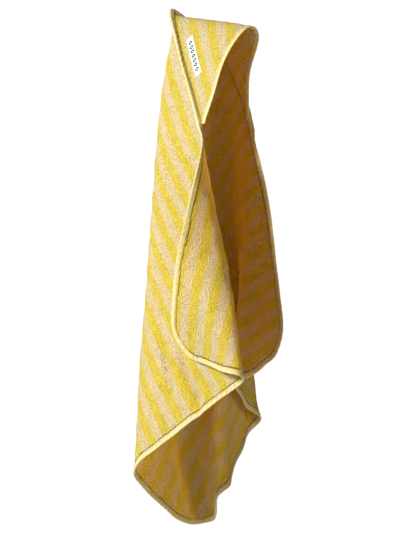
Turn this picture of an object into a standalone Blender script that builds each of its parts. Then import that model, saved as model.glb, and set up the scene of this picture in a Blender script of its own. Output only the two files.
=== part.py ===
"""Hooded baby towel of striped terry cloth, hanging from a peg under the ridge of its hood.

The towel is a square of terry with one corner, the tip, covered by a triangular hood panel.
One bias tape binds all four edges and closes the two hood seams, and a second one binds the
hood's opening. Lengths are metres, +Z is up, and the opening faces -Y and +X. The origin is
the point where the peg carries the inside of the hood's ridge.

The cloth hangs as a fan of straight rulings that leave the tip and end on the hem. Two numbers
name a place in the flat towel: `down`, 0 at the tip and 1 on the hem, and `along`, the distance
on the hem from corner B past the bottom corner C to corner D. Fold lines give the shape: each
is a curve in space through a few points, and the cloth between two of them is rounded.
"""

import bmesh
import bpy
import numpy as np

# ---- driving sizes -------------------------------------------------------------------------
TOWEL_SIDE = 0.800          # the square, edge to edge, before it is hung
HOOD_LEG = 0.300            # how far the hood's seams run down from the tip
CORNER_RADIUS = 0.070       # the three free corners
TIP_RADIUS = 0.030          # the corner under the hood
TERRY_THICKNESS = 0.0030    # pile to pile
BINDING_WIDTH = 0.0100      # the folded bias tape on each face, edge to edge
TAPE_THICKNESS = 0.0010     # one layer of woven cotton tape
LABEL_LENGTH = 0.100
LABEL_WIDTH = 0.017
LABEL_THICKNESS = 0.0008
LABEL_FROM_SEAM = 0.027     # from the front hood seam to the middle of the label
LABEL_FROM_TIP = 0.136      # along that seam, from the tip to the middle of the label
THREAD = 0.0008             # sewing thread as it lies on the tape
THREAD_INSET = 0.0018       # from the tape's inner edge to the row of stitches
LABEL_THREAD_INSET = 0.0015
LABEL_LIFT = 0.0009         # above the pile, which the cloth's flat facets reach into
SEAM_RUN_OUT = 0.075        # length over which the binding narrows below the hood
CLEARANCE = TERRY_THICKNESS / 10   # between faces that touch

# ---- how finely the curved cloth is divided ------------------------------------------------
COLUMNS = (2, 3, 2, 1, 2, 1, 2)         # between the rounded parts of neighbouring folds
FOLD_STEPS = (0.0, 0.20, 0.42, 0.70, 1.05)   # columns beside a fold, in shares of its rounding
EVEN_ABOVE = 0.6                        # share of the way down where that crowding is full
SEAM_COLUMN = 0.060                     # width on the hem of the first and last group, at least
HOOD_ROWS = 7
BODY_ROWS = 13                          # below the hood
ROW_CROWDING = 1.3                      # above 1, those rows crowd towards the hood
ROUNDING_SAMPLES = 13
LABEL_STEPS = 6

NEAR = TERRY_THICKNESS / 2 + CLEARANCE               # from the last point of the open cloth to
EDGE = NEAR + BINDING_WIDTH                          # the tape's inner and its outer edge
HELD = EDGE - TAPE_THICKNESS - CLEARANCE             # cloth beyond that last point
SIDE = TOWEL_SIDE - 2 * EDGE
LEG = HOOD_LEG - EDGE
HOOD_LEVEL = LEG / SIDE

# ---- where the folds meet the hem ----------------------------------------------------------
FLAP_WIDTH = 0.2344 * SIDE          # front flap, corner B to its fold
SIDE_FOLD = 0.6801 * SIDE           # corner B to the left-hand fold
PLEAT_FROM_CORNER = 0.2190 * SIDE   # corner C to the ridge of the back pleat
DEEP_FROM_PLEAT = 0.3091 * SIDE     # that ridge to the deepest fold
RIGHT_WIDTH = 0.2550 * SIDE         # right-hand flap, its fold to corner D

# Below the hood the folds spread as broad as the hood holds them, and as long as the cloth is.
SPREAD = np.array([1.694 * LEG, 1.694 * LEG, SIDE - LEG])

# Fold lines as (share of the way, x, y, z). Above the end of the hood seams the points are
# shares of LEG from the tip; below it, shares of SPREAD from that level.
FRONT_SEAM = [(0, 0, 0, 0), (0.24, -0.01, -0.085, -0.205), (0.48, 0.035, -0.22, -0.39),
              (0.72, 0.10, -0.39, -0.58), (1, 0.165, -0.58, -0.79)]
BACK_SEAM = [(0, 0, 0, 0), (0.24, 0.16, 0.075, -0.115), (0.48, 0.31, 0.05, -0.26),
             (0.72, 0.415, -0.08, -0.46), (1, 0.49, -0.22, -0.70)]
UPPER = (
    FRONT_SEAM,
    FRONT_SEAM,
    [(0, 0, 0, 0), (0.48, -0.09, -0.12, -0.575), (1, -0.16, -0.24, -1.215)],
    [(0, 0, 0, 0), (0.48, -0.03, 0.08, -0.695), (1, -0.02, 0.23, -1.44)],
    [(0, 0, 0, 0), (0.48, 0.05, 0.105, -0.64), (1, 0.11, 0.235, -1.30)],
    [(0, 0, 0, 0), (0.48, 0.19, 0.09, -0.54), (1, 0.30, 0.20, -1.095)],
    BACK_SEAM,
    BACK_SEAM,
)
LOWER = (
    [(0, 0, 0, 0), (0.15, -0.005, -0.09, -0.14), (0.36, -0.035, -0.165, -0.335),
     (0.60, -0.065, -0.205, -0.56), (0.81, -0.09, -0.17, -0.76), (1, -0.10, -0.11, -0.925)],
    [(0, 0, 0, 0), (0.23, 0.065, -0.065, -0.26), (0.49, 0.105, -0.145, -0.515),
     (0.74, 0.145, -0.20, -0.77), (1, 0.18, -0.245, -1.015)],
    [(0, 0, 0, 0), (0.28, -0.03, -0.05, -0.33), (0.65, -0.065, -0.11, -0.77),
     (1, -0.085, -0.155, -1.18)],
    [(0, 0, 0, 0), (0.28, 0.01, 0.06, -0.385), (0.65, 0.025, 0.065, -0.90),
     (1, 0.045, -0.03, -1.325)],
    [(0, 0, 0, 0), (0.28, 0.045, -0.025, -0.345), (0.65, 0.09, -0.14, -0.80),
     (1, 0.115, -0.27, -1.205)],
    [(0, 0, 0, 0), (0.28, 0.05, 0.06, -0.295), (0.65, 0.105, 0.12, -0.68),
     (1, 0.145, 0.16, -1.04)],
    [(0, 0, 0, 0), (0.33, -0.015, 0.04, -0.38), (0.66, -0.03, 0.095, -0.76),
     (1, -0.045, 0.135, -1.12)],
    [(0, 0, 0, 0), (0.28, 0.055, -0.03, -0.275), (0.65, 0.10, -0.075, -0.63),
     (1, 0.135, -0.105, -0.98)],
)
# Rounding of each fold, on the hem, and how the two closed folds open: the way across them, out
# to BULGE_SPAN times their rounding.
ROUNDING = SIDE * np.array([0.0258, 0.0515, 0.0773, 0.1030, 0.0580, 0.0580, 0.0386, 0.0258])
BULGE = {1: (0.44, 0.60, -0.06), 5: (0.68, -0.28, 0.05)}
BULGE_SPAN = 1.3
ROUNDING_AT_TIP = 0.25                  # share of that rounding left at the tip

# Opening edge of the hood as (share of the edge, x, y, z), in shares of LEG from the tip.
OPENING = [(0, 0.165, -0.58, -0.79), (0.15, 0.245, -0.62, -0.585), (0.29, 0.30, -0.635, -0.39),
           (0.42, 0.385, -0.595, -0.22), (0.53, 0.485, -0.505, -0.105),
           (0.61, 0.545, -0.43, -0.14), (0.71, 0.52, -0.355, -0.275), (0.81, 0.48, -0.30, -0.40),
           (0.90, 0.475, -0.25, -0.54), (1, 0.49, -0.22, -0.70)]
TIP_BEND = np.array([-0.01, 0.01, 0.02])       # the seam's bend round the tip, shares of LEG
TIP_REACH = 0.045                              # how far below the tip that bend is felt
PEG_UNDER_RIDGE = np.array([0.34, -0.27, -0.045])   # from the tip to the peg, shares of LEG


def smooth_curve(stations, share):
    """Points at the given shares on the smooth curve through rows of (share, x, y, z)."""
    rows = np.array(stations, dtype=float)
    knots, points = rows[:, 0], rows[:, 1:]
    steps = np.diff(knots)[:, None]
    slopes = np.diff(points, axis=0) / steps
    inner = (slopes[:-1] * steps[1:] + slopes[1:] * steps[:-1]) / (steps[1:] + steps[:-1])
    tangents = np.vstack([slopes[:1], inner, slopes[-1:]])
    i = np.clip(np.searchsorted(knots, share, side="right") - 1, 0, len(knots) - 2)
    t = (share - knots[i])[:, None] / steps[i]
    start, end = points[i], points[i + 1]
    return (start + (end - start) * (3 * t**2 - 2 * t**3)
            + steps[i] * ((t**3 - 2 * t**2 + t) * tangents[i] + (t**3 - t**2) * tangents[i + 1]))


def fold_line(index, down):
    """Points on one fold line at the given shares of the way from the tip to the hem."""
    above = smooth_curve(UPPER[index], np.clip(down / HOOD_LEVEL, 0, 1)) * LEG
    below = np.clip((down - HOOD_LEVEL) / (1 - HOOD_LEVEL), 0, 1)
    return above + smooth_curve(LOWER[index], below) * SPREAD


def fold_places(down, narrowest):
    """Hem distances of the eight fold lines, one row for each value of `down`.

    The front and right-hand flaps start with no width where the hood seams end; `narrowest`
    is the least width on the hem that they are given above and just below that point.
    """
    opened = np.clip((down - HOOD_LEVEL) / (1 - HOOD_LEVEL), 0, 1) / down
    fixed = (SIDE_FOLD, SIDE, SIDE + PLEAT_FROM_CORNER,
             SIDE + PLEAT_FROM_CORNER + DEEP_FROM_PLEAT)
    places = [0 * down, np.maximum(opened * FLAP_WIDTH, narrowest)]
    places += [place + 0 * down for place in fixed]
    places += [2 * SIDE - np.maximum(opened * RIGHT_WIDTH, narrowest), 2 * SIDE + 0 * down]
    return np.stack(places, axis=1)


def body_surface(p, q):
    """Middle of the body cloth at flat points p (along edge AB) and q (along edge AD)."""
    down = np.maximum(p, q) / SIDE
    along = np.where(p >= q, q / down, 2 * SIDE - p / down)
    knots = fold_places(down, 1e-6) * down[:, None]
    points = np.stack([fold_line(k, down) for k in range(8)], axis=1)
    where = along * down
    row = np.arange(len(down))

    def unrounded(distance):
        k = np.clip(sum(distance > knots[:, i] for i in range(1, 7)), 0, 6)
        share = (distance - knots[row, k]) / (knots[row, k + 1] - knots[row, k])
        return points[row, k] + (points[row, k + 1] - points[row, k]) * share[:, None], k, share

    _, k, share = unrounded(where)
    reach = ROUNDING[k] + (ROUNDING[np.minimum(k + 1, 7)] - ROUNDING[k]) * share
    reach = reach * (ROUNDING_AT_TIP + (1 - ROUNDING_AT_TIP) * down)
    reach = np.minimum(reach, np.minimum(where, knots[:, -1] - where))
    total, weights = 0, 0
    for offset in np.linspace(-1, 1, ROUNDING_SAMPLES):
        weight = 1.05 - abs(offset)
        total = total + weight * unrounded(where + offset * reach)[0]
        weights += weight
    total = total / weights
    below = np.clip((down - HOOD_LEVEL) / (1 - HOOD_LEVEL), 0, 1)
    for k, way in BULGE.items():
        aside = where - knots[:, k]
        span = BULGE_SPAN * ROUNDING[k] * (ROUNDING_AT_TIP + (1 - ROUNDING_AT_TIP) * down)
        lift = below * aside * np.clip(1 - abs(aside) / span, 0, 1)**2
        total = total + lift[:, None] * np.array(way)
    return total


def hood_surface(p, q):
    """Middle of the hood cloth at flat points measured as on the body under it."""
    share = (p + q) / LEG
    across = q / (p + q)
    edge = smooth_curve(OPENING, across) * LEG
    ends = np.array([OPENING[0][1:], OPENING[-1][1:]]) * LEG
    surface = edge * share[:, None]
    for seam, end, side in ((0, ends[0], 1 - across), (7, ends[1], across)):
        straight = end * share[:, None]
        near = np.clip(2 * side - 1, 0, 1)[:, None] ** 1.5
        surface = surface + (fold_line(seam, share * HOOD_LEVEL) - straight) * near
    return surface


def rounded_corners(p, q):
    """Move flat points near the corners B, C and D inside their rounding."""
    radius = CORNER_RADIUS - EDGE
    p, q = p.copy(), q.copy()
    for at_p, at_q in ((1, 0), (1, 1), (0, 1)):
        a = (p - (SIDE - radius)) if at_p else (radius - p)
        b = (q - (SIDE - radius)) if at_q else (radius - q)
        inside = (a > 0) & (b > 0)
        a, b = np.clip(a / radius, 0, 1), np.clip(b / radius, 0, 1)
        new_a, new_b = a * np.sqrt(1 - b**2 / 2) * radius, b * np.sqrt(1 - a**2 / 2) * radius
        p = np.where(inside, (SIDE - radius + new_a) if at_p else (radius - new_a), p)
        q = np.where(inside, (SIDE - radius + new_b) if at_q else (radius - new_b), q)
    return p, q


def tip_distance(p, q):
    """Distance from the tip's square corner to its rounding, along the ray to (p, q)."""
    lean = (p + q) / np.hypot(p, q)
    return (TIP_RADIUS - EDGE) * (lean - np.sqrt(np.maximum(lean**2 - 1, 0)))


def tip_seam(p, q):
    """The seam's curve round the tip, for flat points on the tip's rounding."""
    radius = TIP_RADIUS - EDGE
    turn = np.arctan2(1 - p / radius, 1 - q / radius) / (np.pi / 2)
    level = np.array([radius / SIDE])
    start, end, bend = fold_line(0, level), fold_line(7, level), TIP_BEND * LEG
    t = turn[:, None]
    return start * (1 - t)**2 + bend * 2 * t * (1 - t) + end * t**2


def seam_rows():
    """Distances from the tip, along a hood seam, of the rows shared by hood and body."""
    return np.linspace(TIP_RADIUS - EDGE, LEG, HOOD_ROWS + 1)


def pulled_to_tip(points, p, q, start):
    """Bend a patch near the tip so that its first row follows the tip's seam."""
    first_p, first_q = p[:, :1], q[:, :1]
    pull = tip_seam(first_p[:, 0], first_q[:, 0]) - points[:, 0]
    away = np.hypot(p, q) - start[:, None]
    fade = np.clip(1 - away / TIP_REACH, 0, 1)[:, :, None] ** 2
    return points + pull[:, None, :] * fade


def body_columns():
    """Columns of the body as (group, share of the group's width), crowded at the folds."""
    hem_place = fold_places(np.array([1.0]), SEAM_COLUMN)[0]
    columns = []
    for k, count in enumerate(COLUMNS):
        width = hem_place[k + 1] - hem_place[k]
        before = [step * ROUNDING[k] / width for step in FOLD_STEPS] if k > 0 else [0.0]
        after = [1 - step * ROUNDING[k + 1] / width for step in FOLD_STEPS] if k < 6 else [1.0]
        between = np.linspace(before[-1], after[-1], count + 1)
        columns += [(k, share) for share in before[:-1] + list(between)[:-1] + after[:0:-1]]
    return columns + [(6, 1.0)]


def body_patch():
    """Grid of points [column, row] of the body inside its binding, and the hood's columns."""
    below = np.linspace(0, 1, BODY_ROWS + 1)[1:] ** ROW_CROWDING
    rows = np.concatenate([seam_rows() / SIDE, HOOD_LEVEL + (1 - HOOD_LEVEL) * below])
    shares = (rows - rows[0]) / (1 - rows[0])
    columns = body_columns()
    p, q, start = [], [], []
    for number, (k, part) in enumerate(columns):
        even = 2 * SIDE * number / (len(columns) - 1)
        tip_p, tip_q = min(SIDE, 2 * SIDE - even), min(even, SIDE)
        nearest = tip_distance(tip_p, tip_q) / np.hypot(tip_p, tip_q)
        down = nearest + (1 - nearest) * shares
        places = fold_places(down, SEAM_COLUMN)
        crowded = np.clip((down - nearest) / EVEN_ABOVE, 0, 1)
        along = places[:, k] + (places[:, k + 1] - places[:, k]) * part
        along = along * crowded + even * (1 - crowded)
        p.append(down * np.minimum(SIDE, 2 * SIDE - along))
        q.append(down * np.minimum(along, SIDE))
        start.append(np.hypot(p[-1][0], q[-1][0]))
    p, q = rounded_corners(np.array(p), np.array(q))
    points = body_surface(p.ravel(), q.ravel()).reshape(p.shape + (3,))
    return pulled_to_tip(points, p, q, np.array(start)), q[:, 0] / (p[:, 0] + q[:, 0])


def hood_patch(across):
    """Grid of points [column, row] of the hood panel inside its bindings."""
    shares = (seam_rows() - seam_rows()[0]) / (LEG - seam_rows()[0])
    far_p, far_q = LEG * (1 - across), LEG * across
    reach = np.hypot(far_p, far_q)
    nearest = tip_distance(far_p, far_q) / reach
    way = nearest[:, None] + (1 - nearest[:, None]) * shares[None, :]
    p, q = far_p[:, None] * way, far_q[:, None] * way
    points = hood_surface(p.ravel(), q.ravel()).reshape(p.shape + (3,))
    return pulled_to_tip(points, p, q, nearest * reach)


def unit(vectors):
    return vectors / np.linalg.norm(vectors, axis=-1, keepdims=True)


def square_to(vectors, axis):
    """The unit part of each vector that is square to its axis."""
    return unit(vectors - (vectors * axis).sum(axis=-1, keepdims=True) * axis)


def around(grid):
    """Boundary of a patch as one loop: front edge, far edge, back edge, tip edge."""
    return np.concatenate([grid[0], grid[1:, -1], grid[-1, -2::-1], grid[-2:0:-1, 0]])


def step_inwards(patch):
    """For each point of a patch's boundary, the step to a point further in."""
    step = np.zeros_like(patch)
    step[:, 0] = patch[:, 1] - patch[:, 0]
    step[:, -1] = patch[:, -2] - patch[:, -1]
    step[0] = patch[2] - patch[0]
    step[-1] = patch[-3] - patch[-1]
    for column, row, inner in ((0, 0, (2, 2)), (0, -1, (2, -3)), (-1, 0, (-3, 2)),
                               (-1, -1, (-3, -3))):
        step[column, row] = patch[inner] - patch[column, row]
    return step


def seam_path(grid):
    """The part of a patch's boundary that lies in the hood seams, from front to back."""
    return np.concatenate([grid[0, HOOD_ROWS:0:-1], grid[:, 0], grid[-1, 1:HOOD_ROWS + 1]])


def seam_way_out(body, hood):
    """Grid with the way out of the pocket at the seams, halfway between hood and body."""
    line = seam_path(hood)
    along = unit(np.gradient(line, axis=0))
    into_body = square_to(seam_path(step_inwards(body)), along)
    into_hood = square_to(seam_path(step_inwards(hood)), along)
    way = np.cross(along, unit(into_hood - into_body))
    middle = (body[:, 1:HOOD_ROWS].mean(axis=(0, 1)) + hood[:, 1:].mean(axis=(0, 1))) / 2
    way = way * np.sign(((line - middle) * way).sum())
    front, tip, back = way[:HOOD_ROWS], way[len(way) // 2], way[-HOOD_ROWS:]
    t = np.linspace(0, 1, len(body))[:, None]
    bend = 2 * tip - (front[-1] + back[0]) / 2
    grid = np.zeros_like(body)
    grid[0], grid[-1] = front[0], back[-1]
    grid[0, HOOD_ROWS:0:-1], grid[-1, 1:HOOD_ROWS + 1] = front, back
    grid[:, 0] = front[-1] * (1 - t)**2 + bend * 2 * t * (1 - t) + back[0] * t**2
    return grid


class Edge:
    """An edge loop of a patch, with the directions out of the cloth and across it.

    `seam` is 1 where hood and body are held together in one binding, 0 where the edge is
    free, and between the two where the seam runs out. `across` points from body to hood.
    """

    def __init__(self, patch, seam, way_out):
        self.line = around(patch)
        self.seam = around(seam)[:, None]
        along = unit(np.roll(self.line, -1, axis=0) - np.roll(self.line, 1, axis=0))
        self.free_out = -square_to(around(step_inwards(patch)), along)
        held = around(way_out[:, :patch.shape[1]])
        self.out = square_to(self.free_out * (1 - self.seam) + held * self.seam, along)
        self.across = unit(np.cross(self.out, along))
        spread = self.seam * (TERRY_THICKNESS / 2 + CLEARANCE)
        self.apart = self.across * spread
        self.slot = TERRY_THICKNESS / 2 + CLEARANCE + spread


def body_edge(body, way_out):
    """The body's edge: in the seams beside the hood, free elsewhere."""
    walked = np.cumsum(np.linalg.norm(np.diff(body[0], axis=0), axis=1))
    past_hood = np.concatenate([[0], walked]) - walked[HOOD_ROWS - 1]
    seam = np.zeros(body.shape[:2])
    seam[:, 0] = 1
    seam[0] = seam[-1] = np.clip(1 - past_hood / SEAM_RUN_OUT, 0, 1)
    return Edge(body, seam, way_out)


def hood_edge(hood, way_out):
    """The hood panel's edge: in the seams on two sides, free along the opening."""
    seam = np.zeros(hood.shape[:2])
    seam[:, 0] = seam[0] = seam[-1] = 1
    return Edge(hood, seam, way_out)


def new_object(name, vertices, faces, material):
    """A mesh object whose faces all point out of the body that they close."""
    mesh = bpy.data.meshes.new(name)
    mesh.from_pydata([tuple(v) for v in vertices], [], faces)
    mesh.materials.append(material)
    shape = bmesh.new()
    shape.from_mesh(mesh)
    bmesh.ops.recalc_face_normals(shape, faces=shape.faces)
    shape.to_mesh(mesh)
    shape.free()
    thing = bpy.data.objects.new(name, mesh)
    bpy.context.collection.objects.link(thing)
    return thing


def facing(patch, edge):
    """Unit normals at the points of a patch, on the side to which the edge's `across` points."""
    by_column, by_row = np.gradient(patch, axis=0), np.gradient(patch, axis=1)
    normals = unit(np.cross(by_column, by_row))
    if (around(normals) * edge.across).sum() < 0:
        normals = -normals
    return normals


def cloth(name, patch, edge, side, cuts, material):
    """A patch of cloth, with the strip that its bindings hold, as a closed solid.

    `side` is the side of the seam on which it lies. `cuts` are the places of the loop where
    the strip of one edge is cut off square, and the strip of the next one starts from nothing.
    """
    columns, rows = patch.shape[:2]
    number = np.arange(columns * rows).reshape(columns, rows)
    loop = around(number)
    middle, half = patch.reshape(-1, 3).copy(), facing(patch, edge).reshape(-1, 3)
    middle[loop] += side * edge.apart
    half[loop] = edge.across
    middle = np.vstack([middle] + [middle[loop] + edge.out * reach for reach in (NEAR, HELD)])
    half = np.vstack([half, edge.across, edge.across]) * TERRY_THICKNESS / 2
    flat = [(number[i, j], number[i + 1, j], number[i + 1, j + 1], number[i, j + 1])
            for i in range(columns - 1) for j in range(rows - 1)]
    flat = [corner for a, b, c, d in flat for corner in ((a, b, c), (a, c, d))]
    near = columns * rows + np.arange(len(loop))
    held = near + len(loop)
    upper, lower, rim = list(flat), list(flat), []
    for i in range(len(loop)):
        k = (i + 1) % len(loop)
        if i == cuts[0]:
            strip = [(loop[k], loop[i], near[k]), (near[k], loop[i], held[k])]
            upper += strip
            lower += strip
            rim += [(held[i], near[i]), (near[i], loop[i]), (loop[i], held[k])]
        elif k == cuts[1]:
            strip = [(loop[k], loop[i], near[i]), (near[i], held[i], loop[k])]
            upper += strip
            lower += strip
            rim += [(held[i], loop[k]), (loop[k], near[k]), (near[k], held[k])]
        else:
            for inner, outer in ((loop, near), (near, held)):
                upper += [(inner[k], inner[i], outer[k]), (outer[k], inner[i], outer[i])]
                lower += [(inner[k], inner[i], outer[i]), (outer[k], inner[k], outer[i])]
            rim.append((held[i], held[k]))
    down = len(middle)
    faces = upper + [tuple(down + v for v in face) for face in lower]
    faces += [face for a, b in rim for face in ((a, b, down + b), (a, down + b, down + a))]
    return new_object(name, np.vstack([middle + half, middle - half]), faces, material)


def swept(name, rings, closed, material):
    """A solid through rings of equal numbers of points, closed on itself or capped."""
    count, corners = rings.shape[:2]
    faces = []
    for i in range(count if closed else count - 1):
        a, b = i * corners, ((i + 1) % count) * corners
        for j in range(corners):
            k = (j + 1) % corners
            faces += [(a + j, a + k, b + k), (a + j, b + k, b + j)]
    if not closed:
        end = (count - 1) * corners
        faces += cap(0, corners) + cap(end, corners)
    return new_object(name, rings.reshape(-1, 3), faces, material)


def cap(first, corners):
    """Faces that close an end: the folded tape's three runs, or a thread's square."""
    if corners == 10:
        runs = ((0, 1, 8, 9), (1, 2, 7, 8), (2, 3, 4, 5, 6, 7))
        return [tuple(first + k for k in run) for run in runs]
    return [tuple(first + k for k in range(corners))]


def tape_rings(line, out, across, slot):
    """Sections of a tape folded round a cloth edge, open towards the cloth."""
    inner, outer = slot, slot + TAPE_THICKNESS
    near, floor, far = NEAR, HELD + CLEARANCE, EDGE
    stitch = NEAR + THREAD_INSET
    section = ((near, -outer), (far, -outer), (far, outer), (stitch + THREAD, outer),
               (stitch, outer), (near, outer), (near, inner), (floor, inner),
               (floor, -inner), (near, -inner))
    return np.stack([line + out * reach + across * side for reach, side in section], axis=1)


def thread_rings(line, out, across, slot):
    """Square sections of a row of stitches on the face of a tape."""
    height = slot + TAPE_THICKNESS + CLEARANCE
    section = ((THREAD, 0), (0, 0), (0, THREAD), (THREAD, THREAD))
    return np.stack([line + out * (NEAR + THREAD_INSET + reach) + across * (height + rise)
                     for reach, rise in section], axis=1)


def hood_place(hood, ends, p, q):
    """A point on the hood's faceted cloth at flat point (p, q), and its outward direction."""
    way = (p + q) / LEG
    across = q / (p + q)
    nearest = tip_distance(1 - across, across) / np.hypot(1 - across, across) / LEG
    i = int(np.searchsorted(ends, across, side="right")) - 1
    row = (way - nearest) / (1 - nearest) * HOOD_ROWS
    j = int(row)
    a, b = (across - ends[i]) / (ends[i + 1] - ends[i]), row - j
    low = hood[i, j] * (1 - a) + hood[i + 1, j] * a
    high = hood[i, j + 1] * (1 - a) + hood[i + 1, j + 1] * a
    sideways = hood[i + 1, j] * (1 - b) + hood[i + 1, j + 1] * b
    sideways = sideways - hood[i, j] * (1 - b) - hood[i, j + 1] * b
    return low * (1 - b) + high * b, unit(np.cross(high - low, sideways))


def label_grid(hood, ends, length, width):
    """Points under the label, its long side along the front seam, and their outward ways."""
    points, outward = [], []
    for along in np.linspace(-length / 2, length / 2, LABEL_STEPS + 1):
        for aside in (-width / 2, width / 2):
            place = hood_place(hood, ends, LABEL_FROM_TIP + along, LABEL_FROM_SEAM + aside)
            points.append(place[0])
            outward.append(place[1])
    return np.array(points), np.array(outward)


def build_label(hood, ends, material, thread_material):
    """The woven label on the front of the hood, and the row of stitches round it."""
    points, outward = label_grid(hood, ends, LABEL_LENGTH, LABEL_WIDTH)
    bottom = TERRY_THICKNESS / 2 + LABEL_LIFT
    top = bottom + LABEL_THICKNESS
    pairs = points.reshape(-1, 2, 3), outward.reshape(-1, 2, 3)
    rings = np.concatenate([pairs[0] + pairs[1] * bottom,
                            (pairs[0] + pairs[1] * top)[:, ::-1]], axis=1)
    swept("woven_label", rings, False, material)

    inset = 2 * LABEL_THREAD_INSET
    points, outward = label_grid(hood, ends, LABEL_LENGTH - inset, LABEL_WIDTH - inset)
    order = list(range(0, len(points), 2)) + list(range(len(points) - 1, 0, -2))
    line, away = points[order], outward[order]
    middle = line.mean(axis=0)
    inwards = square_to(middle - line, away)
    base = line + away * (top + CLEARANCE)
    rings = [base, base + inwards * THREAD, base + inwards * THREAD + away * THREAD,
             base + away * THREAD]
    swept("label_thread", np.stack(rings, axis=1), True, thread_material)


def new_material(name, colour, roughness):
    material = bpy.data.materials.new(name)
    material.use_nodes = True
    shader = material.node_tree.nodes["Principled BSDF"]
    shader.inputs["Base Color"].default_value = (*colour, 1.0)
    shader.inputs["Roughness"].default_value = roughness
    shader.inputs["Metallic"].default_value = 0.0
    return material


def build_towel():
    peg = PEG_UNDER_RIDGE * LEG
    body, ends = body_patch()
    hood = hood_patch(ends) - peg
    body = body - peg
    way_out = seam_way_out(body, hood)
    body_bound, hood_bound = body_edge(body, way_out), hood_edge(hood, way_out)
    first, last = HOOD_ROWS, HOOD_ROWS + len(ends) - 1

    cloth("body_panel", body, body_bound, -1, (None, None),
          new_material("striped_terry_body", (0.86, 0.72, 0.18), 0.95))
    cloth("hood_panel", hood, hood_bound, 1, (first, last),
          new_material("striped_terry_hood", (0.88, 0.75, 0.24), 0.95))

    frame = body_bound.line, body_bound.out, body_bound.across, body_bound.slot
    swept("edge_binding", tape_rings(*frame), True,
          new_material("edge_bias_tape", (0.93, 0.84, 0.60), 0.85))
    swept("edge_thread", thread_rings(*frame), True,
          new_material("edge_cotton_thread", (0.95, 0.88, 0.68), 0.60))
    free = slice(first + 1, last)
    frame = (hood_bound.line[free], hood_bound.free_out[free], hood_bound.across[free],
             hood_bound.slot[free])
    swept("hood_binding", tape_rings(*frame), False,
          new_material("hood_bias_tape", (0.92, 0.83, 0.59), 0.85))
    swept("hood_thread", thread_rings(*frame), False,
          new_material("hood_cotton_thread", (0.94, 0.87, 0.67), 0.60))
    build_label(hood, ends, new_material("white_label", (0.92, 0.91, 0.88), 0.70),
                new_material("label_white_thread", (0.88, 0.87, 0.84), 0.60))


for old in list(bpy.data.objects):
    bpy.data.objects.remove(old)
build_towel()
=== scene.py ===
"""Hooded baby towel of striped terry cloth, as it hangs from a peg under its hood's ridge.

The drape is found here: fold lines in space give a first shape, and a relaxation on square
grids of the flat cloth, sewn together along the two hood seams, brings it near the flat
cloth's own distances. Lengths are metres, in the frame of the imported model.

The square's corners are A, the tip under the hood, B at the end of the front edge, C at the
bottom and D at the end of the back edge. A flat place is (p, q): p runs along AB, q along AD.
"""

import math

import bpy
import numpy as np
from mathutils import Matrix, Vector


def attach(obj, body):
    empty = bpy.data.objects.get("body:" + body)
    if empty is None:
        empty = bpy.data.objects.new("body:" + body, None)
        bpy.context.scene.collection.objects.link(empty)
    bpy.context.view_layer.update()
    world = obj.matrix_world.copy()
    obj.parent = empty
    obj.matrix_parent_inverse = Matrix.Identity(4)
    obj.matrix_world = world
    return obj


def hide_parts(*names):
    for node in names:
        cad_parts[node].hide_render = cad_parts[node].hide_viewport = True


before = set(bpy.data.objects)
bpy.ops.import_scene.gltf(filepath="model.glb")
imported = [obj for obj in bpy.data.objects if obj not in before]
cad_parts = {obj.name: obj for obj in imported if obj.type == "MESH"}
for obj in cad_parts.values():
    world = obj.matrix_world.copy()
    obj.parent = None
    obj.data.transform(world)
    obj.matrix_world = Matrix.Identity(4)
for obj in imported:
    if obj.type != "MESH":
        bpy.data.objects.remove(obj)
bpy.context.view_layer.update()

# ---- sizes; the corner radii and the hood's share differ a little from the part's ------------
TOWEL_SIDE = 0.800
BINDING = 0.0100                # width of the folded tape
TERRY = 0.0030                  # pile to pile
CLEAR = 0.0003                  # between faces that touch
NEAR = TERRY / 2 + CLEAR        # from the open cloth's last point to the tape
EDGE = NEAR + BINDING
SIDE = TOWEL_SIDE - 2 * EDGE
HOOD_SHARE = 15 / 40            # of the side that the hood takes, in steps of the first grid
LEG = SIDE * HOOD_SHARE
CORNER, BOTTOM_CORNER = 0.072 - EDGE, 0.130 - EDGE      # radii of the open cloth
PART_LEG = 0.2882               # open cloth along a hood seam, in the part
PEG = np.array([0.34, -0.27, -0.045]) * PART_LEG        # from the tip to the peg
STRIPES = 0.040                 # one yellow stripe and one cream one
STRIPE_START = 0.002 - EDGE     # of a yellow stripe, before the first thread of the open cloth

# ---- fold lines: (share of the way, x, y, z); 2, 3 and 4 differ a little from the part's -----
# Above the end of the hood seams in shares of LEG from the tip, below it in shares of the rest
# of the side from that level.
FRONT_SEAM = [(0, 0, 0, 0), (0.24, -0.01, -0.085, -0.205), (0.48, 0.035, -0.22, -0.39),
              (0.72, 0.10, -0.39, -0.58), (1, 0.165, -0.58, -0.79)]
BACK_SEAM = [(0, 0, 0, 0), (0.24, 0.16, 0.075, -0.115), (0.48, 0.31, 0.05, -0.26),
             (0.72, 0.415, -0.08, -0.46), (1, 0.49, -0.22, -0.70)]
UPPER = (
    FRONT_SEAM,
    FRONT_SEAM,
    [(0, 0, 0, 0), (0.24, -0.10, -0.06, -0.28), (0.48, -0.165, -0.12, -0.575),
     (1, -0.22, -0.24, -1.215)],
    [(0, 0, 0, 0), (0.48, -0.03, 0.08, -0.695), (1, -0.02, 0.23, -1.44)],
    [(0, 0, 0, 0), (0.48, 0.05, 0.105, -0.64), (1, 0.11, 0.235, -1.30)],
    [(0, 0, 0, 0), (0.48, 0.19, 0.09, -0.54), (1, 0.30, 0.20, -1.095)],
    BACK_SEAM,
    BACK_SEAM,
)
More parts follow.
